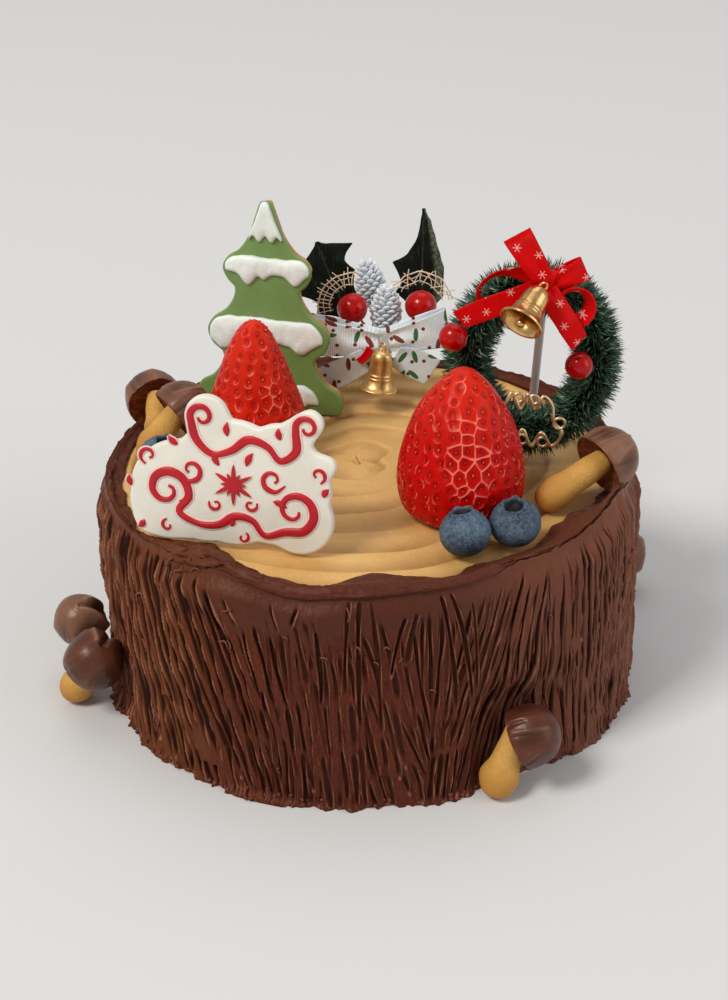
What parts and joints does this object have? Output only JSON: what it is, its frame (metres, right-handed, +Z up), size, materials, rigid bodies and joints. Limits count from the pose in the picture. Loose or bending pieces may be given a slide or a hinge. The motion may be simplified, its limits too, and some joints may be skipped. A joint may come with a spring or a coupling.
{
  "type": "christmas cake",
  "caption": "Round log-bark chocolate cake with a cream top, strawberries, blueberries, chocolate mushrooms, an iced tree biscuit, a white plaque, a holly pick and a tinsel wreath.",
  "frame": {"origin": "centre of the cake's flat underside", "axes": "+Z up through the cake; the plaque and the open front of the cream top look along -Y, +X to the viewer's right"},
  "size_m": [0.1768, 0.1552, 0.1351],
  "materials": {
    "chocolate": "combed chocolate buttercream, soft satin",
    "cream": "caramel coloured cream, satin, palette-knife rings",
    "strawberry": "moist glossy skin with seeds",
    "blueberry": "waxy bloom",
    "biscuit": "baked biscuit",
    "green_icing": "set royal icing, satin",
    "white_icing": "set royal icing, satin",
    "red_icing": "raised red icing line",
    "mushroom_cap": "moulded milk chocolate, glossy",
    "leaf": "dark moulded leaf",
    "netting": "stiff straw netting",
    "cone_white": "frosted white",
    "berry_red": "high gloss lacquer",
    "ribbon_white": "ribbed ribbon",
    "ribbon_red": "satin ribbon",
    "tinsel": "green foil bristles with pale tips",
    "stick_white": "white plastic stick",
    "gold": "polished gold plate"
  },
  "bodies": {
    "root": {"cake": "chocolate", "cream_top": "cream", "strawberry_left": "strawberry", "strawberry_right": "strawberry", "blueberry_front": "blueberry", "blueberry_right": "blueberry", "blueberry_left": "blueberry", "mushroom_a_cap": "mushroom_cap", "mushroom_a_stem": "biscuit", "mushroom_b_cap": "mushroom_cap", "mushroom_b_stem": "biscuit", "mushroom_c_cap": "mushroom_cap", "mushroom_c_stem": "biscuit", "mushroom_d_cap": "mushroom_cap", "mushroom_d_stem": "biscuit", "mushroom_e_cap": "mushroom_cap", "mushroom_e_stem": "biscuit", "mushroom_f_cap": "mushroom_cap", "mushroom_f_stem": "biscuit", "mushroom_g_cap": "mushroom_cap", "mushroom_g_stem": "biscuit", "plaque": "white_icing", "plaque_scroll_upper": "red_icing", "plaque_scroll_lower": "red_icing", "plaque_star": "red_icing", "tree_biscuit": "biscuit", "tree_icing": "green_icing", "tree_snow_top": "white_icing", "tree_snow_middle": "white_icing", "tree_snow_lower": "white_icing", "tree_snow_foot": "white_icing", "holly_leaf_left": "leaf", "holly_leaf_right": "leaf", "netting_left": "netting", "netting_right": "netting", "pinecone_back": "cone_white", "pinecone_front": "cone_white", "pick_berry_left": "berry_red", "pick_berry_right": "berry_red", "pick_wire": "stick_white", "white_loop_left": "ribbon_white", "white_loop_right": "ribbon_white", "white_tail_left": "ribbon_white", "white_tail_right": "ribbon_white", "white_knot": "ribbon_white", "pick_bell": "gold", "bell_ribbon": "red_icing", "wreath_garland": "tinsel", "wreath_stick": "stick_white", "wreath_berry_left": "berry_red", "wreath_berry_right": "berry_red", "red_loop_up": "ribbon_red", "red_loop_right": "ribbon_red", "red_loop_left": "ribbon_red", "red_curl_right": "ribbon_red", "red_tail_left": "ribbon_red", "red_tail_right": "ribbon_red", "red_knot": "ribbon_red", "wreath_bell": "gold", "gold_charm": "gold"}
  },
  "joints": []
}
